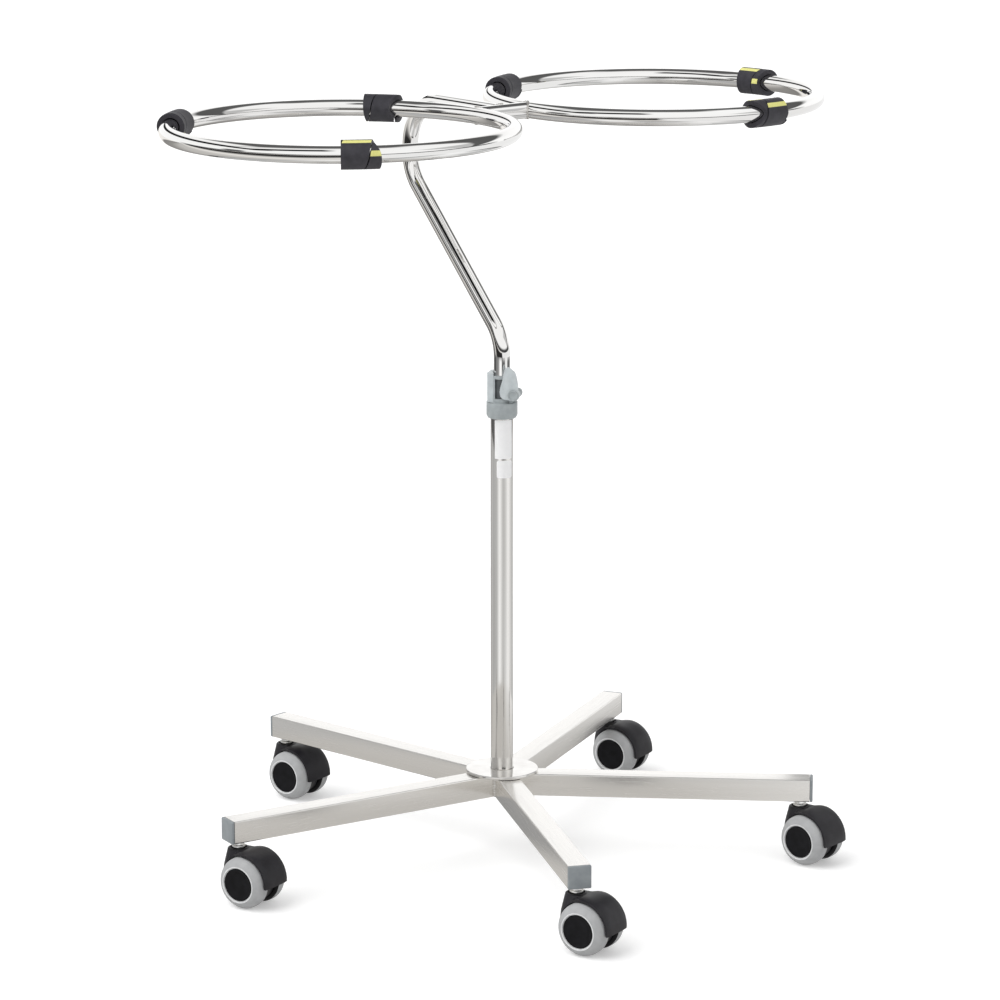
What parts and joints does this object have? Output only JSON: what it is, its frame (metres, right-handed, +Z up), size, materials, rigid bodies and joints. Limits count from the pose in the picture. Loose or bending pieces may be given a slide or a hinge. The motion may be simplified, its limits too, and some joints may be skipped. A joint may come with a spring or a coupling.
{
  "type": "double basin stand",
  "caption": "Wheeled star-base stand whose telescopic bent mast carries tube rings that hold wash basins side by side.",
  "frame": {"origin": "middle of the stand's footprint, on the floor under the wheels", "axes": "+Z is up, +X runs along the line through the ring centres, +Y is the side that the mast bends to"},
  "size_m": [0.7224, 0.6144, 0.7464],
  "materials": {
    "satin_steel": "satin polished stainless steel",
    "bright_steel": "bright polished",
    "zinc_steel": "zinc plated",
    "grey_plastic": "moulded, fine texture",
    "black_plastic": "moulded, low sheen",
    "grey_tread": "soft grey tread with a black disc",
    "black_rubber": "matt hose rubber with a pale yellow stripe",
    "white_nylon": "plain"
  },
  "bodies": {
    "base": {"base_hub": "satin_steel", "leg_1": "satin_steel", "leg_2": "satin_steel", "leg_3": "satin_steel", "leg_4": "satin_steel", "leg_5": "satin_steel", "leg_cap_1": "grey_plastic", "leg_cap_2": "grey_plastic", "leg_cap_3": "grey_plastic", "leg_cap_4": "grey_plastic", "leg_cap_5": "grey_plastic", "castor_stem_1": "bright_steel", "castor_stem_2": "bright_steel", "castor_stem_3": "bright_steel", "castor_stem_4": "bright_steel", "castor_stem_5": "bright_steel", "column_flange": "satin_steel", "column_tube": "satin_steel", "column_foot_plug": "zinc_steel", "bolt_washer": "zinc_steel", "column_bolt": "zinc_steel", "column_bush": "white_nylon", "clamp_collar": "grey_plastic", "clamp_pin": "grey_plastic", "clamp_nut": "zinc_steel", "clamp_screw": "zinc_steel"},
    "clamp_lever": {"clamp_lever": "grey_plastic"},
    "mast_guide": {"mast_guide": "white_nylon"},
    "mast": {"mast_tube": "bright_steel", "ring_bridge": "bright_steel", "ring_left": "bright_steel", "ring_right": "bright_steel", "sleeve_left_1": "black_rubber", "sleeve_left_2": "black_rubber", "sleeve_left_3": "black_rubber", "sleeve_right_1": "black_rubber", "sleeve_right_2": "black_rubber", "sleeve_right_3": "black_rubber"},
    "castor_swivel_1": {"castor_hood_1": "black_plastic", "castor_axle_1": "bright_steel"},
    "wheel_left_1": {"castor_wheel_left_1": "grey_tread"},
    "wheel_right_1": {"castor_wheel_right_1": "grey_tread"},
    "castor_swivel_2": {"castor_hood_2": "black_plastic", "castor_axle_2": "bright_steel"},
    "wheel_left_2": {"castor_wheel_left_2": "grey_tread"},
    "wheel_right_2": {"castor_wheel_right_2": "grey_tread"},
    "castor_swivel_3": {"castor_hood_3": "black_plastic", "castor_axle_3": "bright_steel"},
    "wheel_left_3": {"castor_wheel_left_3": "grey_tread"},
    "wheel_right_3": {"castor_wheel_right_3": "grey_tread"},
    "castor_swivel_4": {"castor_hood_4": "black_plastic", "castor_axle_4": "bright_steel"},
    "wheel_left_4": {"castor_wheel_left_4": "grey_tread"},
    "wheel_right_4": {"castor_wheel_right_4": "grey_tread"},
    "castor_swivel_5": {"castor_hood_5": "black_plastic", "castor_axle_5": "bright_steel"},
    "wheel_left_5": {"castor_wheel_left_5": "grey_tread"},
    "wheel_right_5": {"castor_wheel_right_5": "grey_tread"}
  },
  "joints": [
    {"name": "mast_height", "type": "slide", "parent": "base", "child": "mast_guide", "axis": [0, 0, 1], "range_m": [0, 0.25]},
    {"name": "mast_turn", "type": "hinge", "parent": "mast_guide", "child": "mast", "pos_m": [-0.0027, 0.00316, 0.13], "axis": [0, 0, 1], "continuous": true},
    {"name": "clamp_lever_swing", "type": "hinge", "parent": "base", "child": "clamp_lever", "pos_m": [0.00595, -0.00897, 0.4628], "axis": [0.8141, 0.5807, 0], "range_deg": [0, 90]},
    {"name": "castor_swivel_1", "type": "hinge", "parent": "base", "child": "castor_swivel_1", "pos_m": [0.25593, 0.14085, 0.05], "axis": [0, 0, 1], "continuous": true},
    {"name": "wheel_left_spin_1", "type": "hinge", "parent": "castor_swivel_1", "child": "wheel_left_1", "pos_m": [0.26101, 0.12568, 0.025], "axis": [0.9483, 0.3173, 0], "continuous": true},
    {"name": "wheel_right_spin_1", "type": "hinge", "parent": "castor_swivel_1", "child": "wheel_right_1", "pos_m": [0.26101, 0.12568, 0.025], "axis": [0.9483, 0.3173, 0], "continuous": true},
    {"name": "castor_swivel_2", "type": "hinge", "parent": "base", "child": "castor_swivel_2", "pos_m": [-0.05373, 0.29168, 0.05], "axis": [0, 0, 1], "continuous": true},
    {"name": "wheel_left_spin_2", "type": "hinge", "parent": "castor_swivel_2", "child": "wheel_left_2", "pos_m": [-0.04999, 0.27612, 0.025], "axis": [0.9724, 0.2334, 0], "continuous": true},
    {"name": "wheel_right_spin_2", "type": "hinge", "parent": "castor_swivel_2", "child": "wheel_right_2", "pos_m": [-0.04999, 0.27612, 0.025], "axis": [0.9724, 0.2334, 0], "continuous": true},
    {"name": "castor_swivel_3", "type": "hinge", "parent": "base", "child": "castor_swivel_3", "pos_m": [-0.29287, 0.04379, 0.05], "axis": [0, 0, 1], "continuous": true},
    {"name": "wheel_left_spin_3", "type": "hinge", "parent": "castor_swivel_3", "child": "wheel_left_3", "pos_m": [-0.28819, 0.02848, 0.025], "axis": [0.9563, 0.2924, 0], "continuous": true},
    {"name": "wheel_right_spin_3", "type": "hinge", "parent": "castor_swivel_3", "child": "wheel_right_3", "pos_m": [-0.28819, 0.02848, 0.025], "axis": [0.9563, 0.2924, 0], "continuous": true},
    {"name": "castor_swivel_4", "type": "hinge", "parent": "base", "child": "castor_swivel_4", "pos_m": [-0.13101, -0.26025, 0.05], "axis": [0, 0, 1], "continuous": true},
    {"name": "wheel_left_spin_4", "type": "hinge", "parent": "castor_swivel_4", "child": "wheel_left_4", "pos_m": [-0.12633, -0.27555, 0.025], "axis": [0.9563, 0.2924, 0], "continuous": true},
    {"name": "wheel_right_spin_4", "type": "hinge", "parent": "castor_swivel_4", "child": "wheel_right_4", "pos_m": [-0.12633, -0.27555, 0.025], "axis": [0.9563, 0.2924, 0], "continuous": true},
    {"name": "castor_swivel_5", "type": "hinge", "parent": "base", "child": "castor_swivel_5", "pos_m": [0.20817, -0.20026, 0.05], "axis": [0, 0, 1], "continuous": true},
    {"name": "wheel_left_spin_5", "type": "hinge", "parent": "castor_swivel_5", "child": "wheel_left_5", "pos_m": [0.21095, -0.21602, 0.025], "axis": [0.9848, 0.1736, 0], "continuous": true},
    {"name": "wheel_right_spin_5", "type": "hinge", "parent": "castor_swivel_5", "child": "wheel_right_5", "pos_m": [0.21095, -0.21602, 0.025], "axis": [0.9848, 0.1736, 0], "continuous": true}
  ]
}
